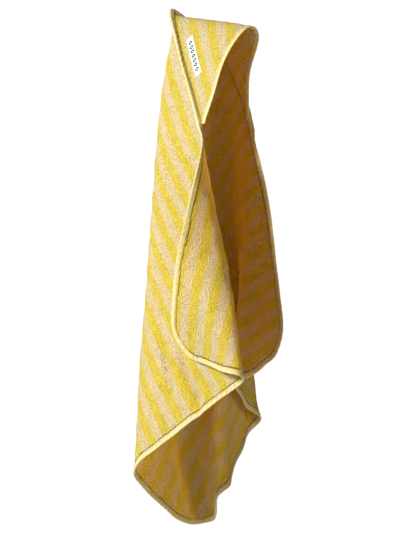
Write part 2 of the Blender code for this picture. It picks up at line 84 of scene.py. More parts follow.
LOWER = (
    [(0, 0, 0, 0), (0.15, -0.005, -0.09, -0.14), (0.36, -0.035, -0.165, -0.335),
     (0.60, -0.065, -0.205, -0.56), (0.81, -0.09, -0.17, -0.76), (1, -0.10, -0.11, -0.925)],
    [(0, 0, 0, 0), (0.23, 0.065, -0.065, -0.26), (0.49, 0.105, -0.145, -0.515),
     (0.74, 0.145, -0.20, -0.77), (1, 0.18, -0.245, -1.015)],
    [(0, 0, 0, 0), (0.28, -0.03, -0.05, -0.33), (0.65, -0.065, -0.11, -0.77),
     (1, -0.085, -0.155, -1.18)],
    [(0, 0, 0, 0), (0.28, 0.01, 0.06, -0.385), (0.65, 0.025, 0.065, -0.90),
     (1, 0.135, -0.03, -1.38)],
    [(0, 0, 0, 0), (0.28, 0.045, -0.025, -0.345), (0.65, 0.09, -0.14, -0.80),
     (1, 0.110, -0.27, -1.225)],
    [(0, 0, 0, 0), (0.28, 0.05, 0.06, -0.295), (0.65, 0.105, 0.12, -0.68),
     (1, 0.145, 0.16, -1.04)],
    [(0, 0, 0, 0), (0.33, -0.015, 0.04, -0.38), (0.66, -0.03, 0.095, -0.76),
     (1, -0.045, 0.135, -1.12)],
    [(0, 0, 0, 0), (0.28, 0.055, -0.03, -0.275), (0.65, 0.10, -0.075, -0.63),
     (1, 0.135, -0.105, -0.98)],
)
# Opening edge of the hood as (share of the edge, x, y, z), in shares of LEG from the tip.
OPENING = [(0, 0.165, -0.58, -0.79), (0.15, 0.245, -0.62, -0.585), (0.29, 0.30, -0.635, -0.39),
           (0.42, 0.385, -0.595, -0.22), (0.53, 0.485, -0.505, -0.105),
           (0.61, 0.545, -0.43, -0.14), (0.71, 0.52, -0.355, -0.275), (0.81, 0.48, -0.30, -0.40),
           (0.90, 0.475, -0.25, -0.54), (1, 0.49, -0.22, -0.70)]

# Along the hem: B to the flap's fold, B to the left fold, C to the back pleat's ridge, that ridge
# to the deepest fold, and the right-hand fold to D.
FLAP, LEFT_FOLD, PLEAT, DEEP, RIGHT = 0.182, 0.528, 0.170, 0.240, 0.198
# How far to either side the cloth is rounded at each fold line, at the hem.
ROUNDING = np.array([0.020, 0.040, 0.060, 0.080, 0.045, 0.045, 0.030, 0.020])
ROUNDING_AT_TIP = 0.25          # share of that at the tip
ROUNDING_SAMPLES = 13
# Beside folds 1 and 5 the cloth moves along this way, in proportion to its distance from the
# fold and oppositely on its two sides.
BULGE = {1: (0.44, 0.60, -0.06), 5: (0.68, -0.28, 0.05)}
BULGE_SPAN = 1.3                # in roundings
TINY = 1e-6                     # keeps divisions away from the tip


def smooth_curve(stations, share):
    """Points at the given shares on the smooth curve through rows of (share, x, y, z)."""
    rows = np.array(stations, dtype=float)
    knots, points = rows[:, 0], rows[:, 1:]
    steps = np.diff(knots)[:, None]
    slopes = np.diff(points, axis=0) / steps
    inner = (slopes[:-1] * steps[1:] + slopes[1:] * steps[:-1]) / (steps[1:] + steps[:-1])
    tangents = np.vstack([slopes[:1], inner, slopes[-1:]])
    i = np.clip(np.searchsorted(knots, share, side="right") - 1, 0, len(knots) - 2)
    t = (share - knots[i])[:, None] / steps[i]
    start, end = points[i], points[i + 1]
    return (start + (end - start) * (3 * t**2 - 2 * t**3)
            + steps[i] * ((t**3 - 2 * t**2 + t) * tangents[i] + (t**3 - t**2) * tangents[i + 1]))


def fold_line(index, down):
    """Points on one fold line at the given shares of the way from the tip to the hem."""
    above = smooth_curve(UPPER[index], np.clip(down / HOOD_SHARE, 0, 1)) * LEG
    below = np.clip((down - HOOD_SHARE) / (1 - HOOD_SHARE), 0, 1)
    return above + smooth_curve(LOWER[index], below) * (SIDE - LEG)


def body_guide(p, q):
    """First shape of the body cloth at flat places."""
    p, q = np.maximum(p, TINY), np.maximum(q, TINY)
    down = np.maximum(p, q) / SIDE
    where = np.where(p >= q, q, 2 * SIDE * down - p)
    below = np.clip((down - HOOD_SHARE) / (1 - HOOD_SHARE), 0, 1)
    fixed = [place * down for place in (LEFT_FOLD, SIDE, SIDE + PLEAT, SIDE + PLEAT + DEEP)]
    knots = np.stack([0 * down, np.maximum(below * FLAP, TINY)] + fixed
                     + [2 * SIDE * down - np.maximum(below * RIGHT, TINY), 2 * SIDE * down], axis=1)
    points = np.stack([fold_line(k, down) for k in range(8)], axis=1)
    row = np.arange(len(down))

    def unrounded(distance):
        k = np.clip(sum(distance > knots[:, i] for i in range(1, 7)), 0, 6)
        share = (distance - knots[row, k]) / (knots[row, k + 1] - knots[row, k])
        return points[row, k] + (points[row, k + 1] - points[row, k]) * share[:, None], k, share

    _, k, share = unrounded(where)
    reach = ROUNDING[k] + (ROUNDING[k + 1] - ROUNDING[k]) * share
    growth = ROUNDING_AT_TIP + (1 - ROUNDING_AT_TIP) * down
    reach = reach * growth
    reach = np.minimum(reach, np.minimum(where, knots[:, -1] - where))
    total, weights = 0, 0
    for offset in np.linspace(-1, 1, ROUNDING_SAMPLES):
        weight = 1.05 - abs(offset)
        total = total + weight * unrounded(where + offset * reach)[0]
        weights += weight
    total = total / weights
    for k, way in BULGE.items():
        aside = where - knots[:, k]
        span = BULGE_SPAN * ROUNDING[k] * growth
        lift = below * aside * np.clip(1 - abs(aside) / span, 0, 1)**2
        total = total + lift[:, None] * np.array(way)
    return total - PEG


def hood_guide(p, q):
    """First shape of the hood cloth at flat places measured as on the body under it."""
    p, q = np.maximum(p, TINY), np.maximum(q, TINY)
    share, across = (p + q) / LEG, q / (p + q)
    surface = smooth_curve(OPENING, across) * LEG * share[:, None]
    for seam, end, side in ((0, OPENING[0], 1 - across), (7, OPENING[-1], across)):
        straight = np.array(end[1:]) * LEG * share[:, None]
        near = np.clip(2 * side - 1, 0, 1)[:, None] ** 1.5
        surface = surface + (fold_line(seam, share * HOOD_SHARE) - straight) * near
    return surface - PEG


# ---- the relaxation ------------------------------------------------------------------------
LEVELS = ((40, 600), (80, 400), (160, 220))     # steps along the side, and rounds
GRID = LEVELS[-1][0]
COARSE = SIDE / GRID
DIAGONAL = 0.7                  # strength of the diagonal links, beside 1 for the threads
CORRECTION = 2.8                # of each length error, over the number of links at a point
BENDING = 0.3
PULL = np.array([0.02, 0.005, 0.02])    # towards the first shape, each round of the first level
FALL = 2e-5


def pairs(mask, di, dj):
    """Slices of the grid's pairs of points that lie (di, dj) apart, and which pairs exist."""
    n, m = mask.shape
    a, b = slice(0, n - di), slice(di, n)
    c, d = (slice(0, m - dj), slice(dj, m)) if dj >= 0 else (slice(-dj, m), slice(0, m + dj))
    return (a, c), (b, d), mask[a, c] & mask[b, d]


class Cloth:
    """A grid of cloth points that wants to keep its flat distances and to bend little."""

    def __init__(self, points, mask, step):
        self.x, self.mask = points, mask
        self.links = [pairs(mask, di, dj) + (step * math.hypot(di, dj), k)
                      for di, dj, k in ((1, 0, 1), (0, 1, 1), (1, 1, DIAGONAL), (1, -1, DIAGONAL))]
        count = np.zeros(mask.shape)
        for a, b, there, _, _ in self.links:
            count[a] += there
            count[b] += there
        self.gain = CORRECTION / np.maximum(count, 1)[..., None]

    def stretch(self):
        """Move linked points towards their flat distance."""
        move = np.zeros_like(self.x)
        for a, b, there, rest, k in self.links:
            apart = self.x[b] - self.x[a]
            length = np.sqrt((apart * apart).sum(-1))
            half = np.where(there, k * 0.5 * (length - rest) / np.maximum(length, 1e-9), 0)
            move[a] += apart * half[..., None]
            move[b] -= apart * half[..., None]
        self.x = self.x + move * self.gain

    def bend(self, stiffness):
        """Move each point towards the middle of its neighbours along both threads."""
        move = np.zeros_like(self.x)
        for turned in (False, True):
            x, m, out = self.x, self.mask, move
            if turned:
                x, m, out = x.swapaxes(0, 1), m.T, out.swapaxes(0, 1)
            there = (m[:-2] & m[1:-1] & m[2:])[..., None]
            curl = (x[:-2] + x[2:] - 2 * x[1:-1]) * there * (stiffness / 6)
            out[1:-1] += 2 * curl
            out[:-2] -= curl
            out[2:] -= curl
        self.x = self.x + move


def finer(x):
    """The same grid at twice the resolution."""
    y = np.zeros((2 * len(x) - 1, 2 * x.shape[1] - 1, 3))
    y[::2, ::2] = x
    y[1::2, ::2] = (x[1:] + x[:-1]) / 2
    y[:, 1::2] = (y[:, 2::2] + y[:, :-2:2]) / 2
    return y


def drape():
    """Relaxed grids of body and hood, coarse to fine, sewn together along the hood seams."""
    body = hood = None
    for level, (count, rounds) in enumerate(LEVELS):
        step, n = SIDE / count, int(count * HOOD_SHARE)
        p, q = np.meshgrid(np.arange(count + 1) * step, np.arange(count + 1) * step, indexing="ij")
        body_aim = body_guide(p.ravel(), q.ravel()).reshape(p.shape + (3,))
        i, j = np.meshgrid(np.arange(n + 1), np.arange(n + 1), indexing="ij")
        inside = i + j <= n
        hood_p, hood_q = i * step, np.minimum(j, n - i) * step
        hood_aim = hood_guide(hood_p.ravel(), hood_q.ravel()).reshape(i.shape + (3,))
        if body is None:
            body, hood = body_aim.copy(), hood_aim.copy()
        else:
            body, hood = finer(body), finer(hood)
        main = Cloth(body, np.ones(p.shape, bool), step)
        top = Cloth(hood, inside, step)
        pull = PULL / 4**level
        fall = np.array([0, 0, FALL / 4**level])
        for _ in range(rounds):
            main.x = main.x + (body_aim - main.x) * pull - fall
            top.x = top.x + (hood_aim - top.x) * pull * 2 - fall
            main.bend(BENDING)
            top.bend(BENDING)
            main.stretch()
            top.stretch()
            for ours, theirs in ((main.x[:n + 1, 0], top.x[:, 0]), (main.x[0, :n + 1], top.x[0])):
                seam = (ours + theirs) / 2
                ours[:], theirs[:] = seam, seam
        body, hood = main.x, top.x
    return body, mirrored(hood)


def mirrored(hood):
    """The hood's grid with the half beyond the opening filled in, so it can be sampled."""
    n = len(hood) - 1
    full = hood.copy()
    for i in range(n + 1):
        for j in range(n + 1 - i, n + 1):
            a, b = (i + n - j) / 2, (j + n - i) / 2
            low = hood[int(math.floor(a)), int(math.ceil(b))]
            high = hood[int(math.ceil(a)), int(math.floor(b))]
            full[i, j] = (low + high) - hood[n - j, n - i]
    return full


def sampled(grid, step, p, q):
    """Smoothly interpolated values of a grid at flat places."""
    def weights(t):
        return np.stack([-t + 2 * t**2 - t**3, 2 - 5 * t**2 + 3 * t**3,
                         t + 4 * t**2 - 3 * t**3, t**3 - t**2], axis=-1) / 2
    n, m = grid.shape[0] - 1, grid.shape[1] - 1
    padded = np.zeros((n + 3, m + 3, grid.shape[2]))
    padded[1:-1, 1:-1] = grid
    padded[0], padded[-1] = 2 * padded[1] - padded[2], 2 * padded[-2] - padded[-3]
    padded[:, 0] = 2 * padded[:, 1] - padded[:, 2]
    padded[:, -1] = 2 * padded[:, -2] - padded[:, -3]
    u, v = np.clip(p / step, 0, n), np.clip(q / step, 0, m)
    i, j = np.minimum(u.astype(int), n - 1), np.minimum(v.astype(int), m - 1)
    a, b = weights(u - i), weights(v - j)
    total = 0
    for k in range(4):
        for l in range(4):
            total = total + padded[i + k, j + l] * (a[..., k] * b[..., l])[..., None]
    return total


def on_diagonal(grid, place):
    """Values of a grid at one place on the diagonal from the tip."""
    return sampled(grid, COARSE, np.array([place]), np.array([place]))[0]


def unit(vectors):
    return vectors / np.maximum(np.linalg.norm(vectors, axis=-1, keepdims=True), 1e-12)


def square_to(vectors, axis):
    return unit(vectors - (vectors * axis).sum(-1, keepdims=True) * axis)


def smoothed(values, rounds):
    """Values along an open line, averaged with their neighbours."""
    values = values.copy()
    for _ in range(rounds):
        values[1:-1] = (values[:-2] + 2 * values[1:-1] + values[2:]) / 4
    return values


def smoothed_loop(values, rounds):
    """Values along a closed line, averaged with their neighbours."""
    for _ in range(rounds):
        values = (np.roll(values, 1, axis=0) + 2 * values + np.roll(values, -1, axis=0)) / 4
    return values


# ---- meshes --------------------------------------------------------------------------------
def piece(name, node, material, vertices, faces, flat=None):
    """A smooth mesh that replaces a node of the model, with its flat places as an attribute."""
    mesh = bpy.data.meshes.new(name)
    mesh.from_pydata(vertices.tolist(), [], faces)
    mesh.validate()
    mesh.shade_smooth()
    if flat is not None:
        places = mesh.attributes.new("flat", "FLOAT_VECTOR", "POINT")
        places.data.foreach_set("vector", flat.astype(np.float32).ravel())
    mesh.materials.append(material)
    thing = bpy.data.objects.new(name, mesh)
    bpy.context.scene.collection.objects.link(thing)
    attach(thing, "root")
    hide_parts(node)
    return thing


def grid_faces(number, flip=False):
    """Quads over a grid of vertex numbers; -1 marks places that aren't there."""
    a, b, c, d = number[:-1, :-1], number[1:, :-1], number[1:, 1:], number[:-1, 1:]
    quads = np.stack([a, d, c, b] if flip else [a, b, c, d], axis=-1).reshape(-1, 4)
    faces = []
    for quad in quads.tolist():
        corners = [v for v in quad if v >= 0]
        if len(corners) >= 3:
            faces.append(corners)
    return faces


def thick(middle, normal, flat, number, loop, strip, half):
    """Closed cloth: both faces of a grid, its strip inside the binding, and the rim.

    `loop` are the grid's boundary vertices in order and `strip` a list of (points, ways)
    further out, one per loop vertex. Returns vertices, faces and flat places.
    """
    points, ways, places = [middle], [normal], [flat]
    rings, first = [loop], len(middle)
    for ring, way in strip:
        points.append(ring)
        ways.append(way)
        places.append(flat[loop])
        rings.append(first + np.arange(len(loop)))
        first += len(loop)
    points, ways, places = np.vstack(points), np.vstack(ways), np.vstack(places)
    count = len(points)
    upper, lower = grid_faces(number), grid_faces(np.where(number < 0, -1, number + count), True)
    band = np.array(rings)
    band = np.hstack([band, band[:, :1]])
    upper += grid_faces(band)
    lower += grid_faces(band + count, True)
    rim = np.array([band[-1], band[-1] + count])
    faces = upper + lower + grid_faces(rim)
    both = np.vstack([points + ways * half, points - ways * half])
    return both, faces, np.vstack([places, places])


def around(grid):
    """The outermost row of a grid, all the way round."""
    return np.concatenate([grid[0], grid[1:, -1], grid[-1, -2::-1], grid[-2:0:-1, 0]])


def rounded(p, q):
    """Flat places on the body with those near the corners B, C and D inside their rounding."""
    p, q = p.copy(), q.copy()
    for at_p, at_q, radius in ((1, 0, CORNER), (1, 1, BOTTOM_CORNER), (0, 1, CORNER)):
        a = (p - (SIDE - radius)) if at_p else (radius - p)
        b = (q - (SIDE - radius)) if at_q else (radius - q)
        inside = (a > 0) & (b > 0)
        a, b = np.clip(a / radius, 0, 1), np.clip(b / radius, 0, 1)
        new_a, new_b = a * np.sqrt(1 - b**2 / 2) * radius, b * np.sqrt(1 - a**2 / 2) * radius
        p = np.where(inside, (SIDE - radius + new_a) if at_p else (radius - new_a), p)
        q = np.where(inside, (SIDE - radius + new_b) if at_q else (radius - new_b), q)
    return p, q


def terry_height(p, q):
    """Uneven pile: slow swells and finer lumps in the thickness of the cloth."""
    swell = np.sin(p * 190 + 2.1 * np.sin(q * 77)) * np.sin(q * 230 + 1.7 * np.sin(p * 91))
    lump = np.sin(p * 1210 + q * 410) * np.sin(q * 1370 - p * 350)
    return 0.00022 * swell + 0.00012 * lump


def uneven(vertices, places, start=0.0):
    """A closed cloth's two faces, moved in and out by the unevenness of the pile."""
    half = len(vertices) // 2
    ways = unit(vertices[:half] - vertices[half:])
    lumps = terry_height(places[:, 0] + start, places[:, 1])[:, None]
    return vertices + np.vstack([ways * lumps[:half], -ways * lumps[half:]])


# ---- the draped cloth ----------------------------------------------------------------------
def with_normals(grid):
    """A grid of (place, normal, way along p, way along q), twelve numbers a point."""
    by_p, by_q = np.gradient(grid, axis=0), np.gradient(grid, axis=1)
    return np.concatenate([grid, unit(np.cross(by_p, by_q)), by_p / COARSE, by_q / COARSE], axis=2)


body_grid, hood_grid = drape()
body_all, hood_all = with_normals(body_grid), with_normals(hood_grid)
UNDER_HOOD, BELOW_POCKET = 0.08, 0.10           # places on the diagonal
pocket = (on_diagonal(body_all, UNDER_HOOD)[:3] + on_diagonal(hood_all, UNDER_HOOD)[:3]) / 2

# Every normal is made to point from the body's outer face to its inner one, and out of the hood.
probe = on_diagonal(body_all, BELOW_POCKET)
if (probe[3:6] * (pocket - probe[:3])).sum() < 0:
    body_all[..., 3:6] *= -1
probe = on_diagonal(hood_all, UNDER_HOOD)
if (probe[3:6] * (probe[:3] - pocket)).sum() < 0:
    hood_all[..., 3:6] *= -1

# Creases as (p, q, lean, half length, half width, depth), most of them near the front flap.
CREASES = ((0.715, 0.304, 0.15, 0.065, 0.012, 0.0150), (0.665, 0.335, 0.35, 0.050, 0.010, 0.0090),
           (0.735, 0.270, -0.10, 0.040, 0.009, 0.0070), (0.560, 0.300, 0.30, 0.060, 0.016, 0.0060),
           (0.620, 0.120, 0.20, 0.070, 0.012, 0.0030), (0.500, 0.090, 0.15, 0.080, 0.013, 0.0025),
           (0.160, 0.560, 0.40, 0.080, 0.016, 0.0040), (0.700, 0.640, 0.90, 0.060, 0.014, 0.0040))
WAVES, WAVER = 0.0012, 0.004    # depth of the slow waves, and how far a crease wanders aside
FADE = 0.04                     # waves and creases die out this far from the edges AB and AD
steps = np.arange(GRID + 1) * COARSE
at_p, at_q = np.meshgrid(steps, steps, indexing="ij")
depth = WAVES * np.sin(at_p * 61 + 2 * np.sin(at_q * 23)) * np.sin(at_q * 71 + at_p * 19)
for mid_p, mid_q, lean, long, wide, deep in CREASES:
    along = (at_p - mid_p) * math.cos(lean) + (at_q - mid_q) * math.sin(lean)
    aside = (at_q - mid_q) * math.cos(lean) - (at_p - mid_p) * math.sin(lean)
    aside = aside + WAVER * np.sin(along * 60)
    depth += deep * np.exp(-(along / long)**4 - (aside / wide)**2)
depth *= np.clip(np.minimum(at_p, at_q) / FADE, 0, 1)
inner = body_all[..., 3:6].copy()
body_all = with_normals(body_grid + inner * depth[..., None])
body_all[..., 3:6] *= np.sign((body_all[..., 3:6] * inner).sum(-1, keepdims=True))

# ---- the two hood seams, each from the tip to the hood's end -------------------------------
SEAM_STEPS = 96
seam_at = np.linspace(0, LEG, SEAM_STEPS + 1)
zero = 0 * seam_at
front, front_hood = (sampled(g, COARSE, seam_at, zero) for g in (body_all, hood_all))
back, back_hood = (sampled(g, COARSE, zero, seam_at) for g in (body_all, hood_all))


def fin(body_row, hood_row, body_step, hood_step, other):
    """Way out of the pocket at one seam, square to it and halfway between body and hood."""
    along = unit(np.gradient(body_row[:, :3], axis=0))
    to_body = square_to(body_step - body_row[:, :3], along)
    to_hood = square_to(hood_step - hood_row[:, :3], along)
    way = unit(np.cross(along, to_hood - to_body))
    sign = np.sign(((body_row[:, :3] - other) * way).sum())
    return square_to(smoothed(way * sign, 60), along)


INWARD = 0.012                  # from a seam to the places that show how the cloths leave it
WITHIN = 0.96                   # keeps those places inside the hood's triangle
front_fin = fin(front, front_hood,
                sampled(body_all, COARSE, seam_at, zero + INWARD)[:, :3],
                sampled(hood_all, COARSE, seam_at * WITHIN, zero + INWARD)[:, :3], pocket)
back_fin = fin(back, back_hood,
               sampled(body_all, COARSE, zero + INWARD, seam_at)[:, :3],
               sampled(hood_all, COARSE, zero + INWARD, seam_at * WITHIN)[:, :3], pocket)

# ---- the body's edge, as a loop from the tip along AB, BC, CD and DA ------------------------
FINE = 200
flat_1d = np.linspace(0, SIDE, FINE + 1)
body_p, body_q = rounded(*np.meshgrid(flat_1d, flat_1d, indexing="ij"))
body_here = sampled(body_all, COARSE, body_p, body_q)
edge_p, edge_q = around(body_p), around(body_q)
edge_flat = np.stack([edge_p, edge_q], axis=1)
turn = np.roll(edge_flat, -1, axis=0) - np.roll(edge_flat, 1, axis=0)
outward = np.stack([turn[:, 1], -turn[:, 0]], axis=1)
outward = outward / np.linalg.norm(outward, axis=1, keepdims=True)
outward *= np.sign((outward * (edge_flat - SIDE / 2)).sum(1, keepdims=True))
outward[0] = outward[1]
edge_here = around(body_here)
line, free_across = edge_here[:, :3], edge_here[:, 3:6]
free_out = unit(edge_here[:, 6:9] * outward[:, :1] + edge_here[:, 9:12] * outward[:, 1:])
on_front, on_back = edge_q < 1e-9, (edge_p < 1e-9) & (edge_q > 1e-9)
RUN_OUT = 0.06                  # below the hood, over which the edge turns back to the free cloth
down_seam = np.where(on_front, edge_p, np.where(on_back, edge_q, SIDE))
seam_share = np.clip(1 - (down_seam - LEG) / RUN_OUT, 0, 1)
seam_share = seam_share * seam_share * (3 - 2 * seam_share)
fin_way = free_out.copy()
for mask, places, way in ((on_front, edge_p, front_fin), (on_back, edge_q, back_fin)):
    for axis in range(3):
        fin_way[mask, axis] = np.interp(places[mask], seam_at, way[:, axis])
loop_along = unit(np.roll(line, -1, axis=0) - np.roll(line, 1, axis=0))
out = square_to(free_out * (1 - seam_share[:, None]) + fin_way * seam_share[:, None], loop_along)
across = unit(np.cross(out, loop_along))
across *= np.sign((across * free_across)[seam_share < 0.01].sum())


# ---- materials -----------------------------------------------------------------------------
def new_material(name, roughness, sheen=0.0, sheen_tint=(1, 1, 1)):
    material = bpy.data.materials.new(name)
    material.use_nodes = True
    shader = material.node_tree.nodes["Principled BSDF"]
    shader.inputs["Roughness"].default_value = roughness
    shader.inputs["Specular IOR Level"].default_value = 0.2
    shader.inputs["Sheen Weight"].default_value = sheen
    shader.inputs["Sheen Roughness"].default_value = 0.5
    shader.inputs["Sheen Tint"].default_value = (*sheen_tint, 1)
    return material, material.node_tree, shader


def node(tree, kind, **values):
    """A new node; in_3=value sets its fourth input, and other names its own settings."""
    made = tree.nodes.new(kind)
    for key, value in values.items():
        if key.startswith("in_"):
            made.inputs[int(key[3:])].default_value = value
        else:
            setattr(made, key, value)
    return made


def flat_place(tree):
    """The flat place stored at each vertex, and then its three numbers."""
    place = node(tree, "ShaderNodeAttribute", attribute_name="flat").outputs["Vector"]
    split = node(tree, "ShaderNodeSeparateXYZ")
    tree.links.new(place, split.inputs[0])
    return (place, *split.outputs)


def maths(tree, operation, a, b=None, clamp=False):
    made = node(tree, "ShaderNodeMath", operation=operation, use_clamp=clamp)
    for place, value in ((0, a), (1, b)):
        if hasattr(value, "is_output"):
            tree.links.new(value, made.inputs[place])
        elif value is not None:
            made.inputs[place].default_value = value
    return made.outputs[0]


def mix(tree, factor, a, b, blend="MIX"):
    made = node(tree, "ShaderNodeMix", data_type="RGBA", blend_type=blend)
    for place, value in ((0, factor), (6, a), (7, b)):
        if hasattr(value, "is_output"):
            tree.links.new(value, made.inputs[place])
        else:
            made.inputs[place].default_value = value if place == 0 else (*value, 1)
    return made.outputs[2]


def noise(tree, vector, scale, detail=2.0):
    made = node(tree, "ShaderNodeTexNoise")
    made.inputs["Scale"].default_value = scale
    made.inputs["Detail"].default_value = detail
    tree.links.new(vector, made.inputs["Vector"])
    return made.outputs["Fac"]


def cells(tree, vector, scale):
    made = node(tree, "ShaderNodeTexVoronoi")
    made.inputs["Scale"].default_value = scale
    tree.links.new(vector, made.inputs["Vector"])
    return made.outputs["Distance"]


def bump(tree, shader, height, distance, strength=1.0):
    made = node(tree, "ShaderNodeBump")
    made.inputs["Distance"].default_value = distance
    made.inputs["Strength"].default_value = strength
    tree.links.new(height, made.inputs["Height"])
    tree.links.new(made.outputs[0], shader.inputs["Normal"])


# Stripe colours, and darker ones for the pile's mottling and for painted shade between loops.
YELLOW, YELLOW_MOTTLE_AND_SHADE = (0.92, 0.83, 0.12), (0.62, 0.42, 0.010)
CREAM, CREAM_MOTTLE_AND_SHADE = (0.93, 0.86, 0.58), (0.64, 0.47, 0.16)
GLOW, THIN = (1.0, 0.60, 0.012), 0.48   # colour and share of the light that comes through
LOOPS, TUFTS, PATCHES = 430, 300, 60    # texture scales of the pile
RAGGED = 0.006                          # breadth of the band in which a stripe's edge wanders
SHARP = 5.0                             # steepness of the change between two stripes
PILE_BUMP = 0.0030


def terry(name):
    """Yarn-dyed terry: yellow and cream stripes along q, looped pile, painted shade between loops."""
    material, tree, shader = new_material(name, 0.95, 0.25, (1.0, 0.93, 0.7))
    place, _, q, _ = flat_place(tree)
    space = node(tree, "ShaderNodeTexCoord").outputs["Object"]
    uneven_edge = maths(tree, "SUBTRACT", noise(tree, place, 420, 3), 0.5)
    ragged = maths(tree, "MULTIPLY", uneven_edge, RAGGED)
    aside = maths(tree, "ADD", maths(tree, "SUBTRACT", q, STRIPE_START), ragged)
    turn = maths(tree, "DIVIDE", aside, STRIPES)
    wave = maths(tree, "SINE", maths(tree, "MULTIPLY", turn, 2 * math.pi))
    yellow = maths(tree, "ADD", maths(tree, "MULTIPLY", wave, SHARP), 0.5, True)
    between = cells(tree, place, LOOPS)
    pile = maths(tree, "SUBTRACT", 1.0, between)
    # Painted shade: darker at the cell edges, in the crevices between the loops.
    painted_crevice_shade = maths(tree, "MULTIPLY", maths(tree, "SUBTRACT", between, 0.25), 2.2, True)
    patchy = maths(tree, "SUBTRACT", noise(tree, space, PATCHES, 3), 0.45)
    clumps = noise(tree, place, TUFTS, 4)
    tufts = maths(tree, "SUBTRACT", clumps, 0.5)
    # The pile's darkening: painted crevice shade, with random mottling in patches and tufts.
    shade = maths(tree, "ADD", maths(tree, "MULTIPLY", painted_crevice_shade, 0.40),
                  maths(tree, "ADD", maths(tree, "MULTIPLY", patchy, 0.9),
                        maths(tree, "MULTIPLY", tufts, 4.2)), True)
    lit = mix(tree, yellow, CREAM, YELLOW)
    deep = mix(tree, yellow, CREAM_MOTTLE_AND_SHADE, YELLOW_MOTTLE_AND_SHADE)
    tree.links.new(mix(tree, shade, lit, deep), shader.inputs["Base Color"])
    height = maths(tree, "ADD", pile, maths(tree, "MULTIPLY", clumps, 2.4))
    bump(tree, shader, height, PILE_BUMP, 1.0)
    through = node(tree, "ShaderNodeBsdfTranslucent", in_0=(*GLOW, 1))
    both = node(tree, "ShaderNodeMixShader", in_0=THIN)
    tree.links.new(shader.outputs[0], both.inputs[1])
    tree.links.new(through.outputs[0], both.inputs[2])
    tree.links.new(both.outputs[0], tree.nodes["Material Output"].inputs["Surface"])
    return material


# The last colour is painted shade for the hollows of the puckers and the inside of the fold.
TAPE_LIT, TAPE_DEEP, TAPE_PAINTED_SHADE = (0.60, 0.49, 0.27), (0.46, 0.32, 0.13), (0.25, 0.14, 0.04)
TAPE_WEAVE = 7800               # radians for each metre across the tape's threads


def tape(name):
    """Cream bias tape: a fine diagonal weave, with painted shade in its puckers."""
    material, tree, shader = new_material(name, 0.75, 0.15)
    place, along, aside, painted_pucker_shade = flat_place(tree)
    warp, weft = (maths(tree, "SINE", maths(tree, "MULTIPLY", maths(tree, way, along, aside),
                                            TAPE_WEAVE)) for way in ("ADD", "SUBTRACT"))
    weave = maths(tree, "MULTIPLY", warp, weft)
    shade = maths(tree, "ADD", maths(tree, "MULTIPLY", weave, 0.12),
                  maths(tree, "MULTIPLY", noise(tree, place, 130, 4), 0.7), True)
    # Painted shade: the weave's colour darkens in the hollows of the puckers.
    painted_shade_colour = mix(tree, painted_pucker_shade, mix(tree, shade, TAPE_LIT, TAPE_DEEP), TAPE_PAINTED_SHADE)
    tree.links.new(painted_shade_colour, shader.inputs["Base Color"])
    bump(tree, shader, maths(tree, "ADD", weave, noise(tree, place, 900, 2)), 0.00012, 0.6)
    return material


PLY, ROUND = 7000, 6.2832       # radians for each metre of a thread, and once round it


def thread(name, colour):
    """Spun thread with a twisted ply."""
    material, tree, shader = new_material(name, 0.6, 0.2)
    _, along, turn, _ = flat_place(tree)
    twist = maths(tree, "SINE", maths(tree, "ADD", maths(tree, "MULTIPLY", along, PLY),
                                      maths(tree, "MULTIPLY", turn, ROUND)))
    shade = maths(tree, "ADD", maths(tree, "MULTIPLY", twist, 0.3), 0.4, True)
    shaded = mix(tree, shade, colour, tuple(part * 0.62 for part in colour))
    tree.links.new(shaded, shader.inputs["Base Color"])
    bump(tree, shader, twist, 0.00012, 0.8)
    return material


# ---- body and hood -------------------------------------------------------------------------
number = np.arange((FINE + 1)**2).reshape(FINE + 1, FINE + 1)
flat_body = np.stack([body_p.ravel(), body_q.ravel(), 0 * body_p.ravel()], axis=1)
middle, normal = (body_here[..., k:k + 3].reshape(-1, 3).copy() for k in (0, 3))
loop = around(number)
APART = 0.0014                  # of body and hood from the seam's middle
STRIP = (0.0015, 0.004, 0.0065)         # rows of cloth past the open cloth's last point
middle[loop] -= across * (seam_share * APART)[:, None]
normal[loop] = unit(normal[loop] + across)
strip = [(middle[loop] + out * reach, across) for reach in STRIP]
vertices, faces, places = thick(middle, normal, flat_body, number, loop, strip, TERRY / 2)
body = piece("terry_body", "body_panel", terry("striped_terry_body"),
             uneven(vertices, places), faces, places)

HOOD_FINE, HOOD_PATCH = 75, 1.3         # steps, and a shift that gives the hood lumps of its own
hood_step = LEG / HOOD_FINE
i, j = np.meshgrid(np.arange(HOOD_FINE + 1), np.arange(HOOD_FINE + 1), indexing="ij")
inside = i + j <= HOOD_FINE
number = -np.ones(i.shape, int)
number[inside] = np.arange(inside.sum())
hood_p, hood_q = i[inside] * hood_step, j[inside] * hood_step
hood_here = sampled(hood_all, COARSE, hood_p, hood_q)
middle, normal = hood_here[:, :3].copy(), hood_here[:, 3:6].copy()
ends = np.arange(HOOD_FINE + 1)
front_loop, opening_loop = number[ends, 0], number[ends[::-1], ends]
back_loop = number[0, ends[::-1]]
loop = np.concatenate([front_loop, opening_loop[1:], back_loop[1:-1]])
hood_along = unit(np.roll(middle[loop], -1, axis=0) - np.roll(middle[loop], 1, axis=0))
hood_free = unit(hood_here[loop, 6:9] + hood_here[loop, 9:12])
hood_out = square_to(hood_free, hood_along)
count = HOOD_FINE + 1
for places_1d, way, rows in ((ends * hood_step, front_fin, np.arange(count)),
                             (ends[::-1][1:-1] * hood_step, back_fin,
                              np.arange(2 * count - 1, len(loop)))):
    for axis in range(3):
        hood_out[rows, axis] = np.interp(places_1d, seam_at, way[:, axis])
hood_out[0] = tip_way = unit(front_fin[0] + back_fin[0])
hood_across = unit(np.cross(hood_out, hood_along))
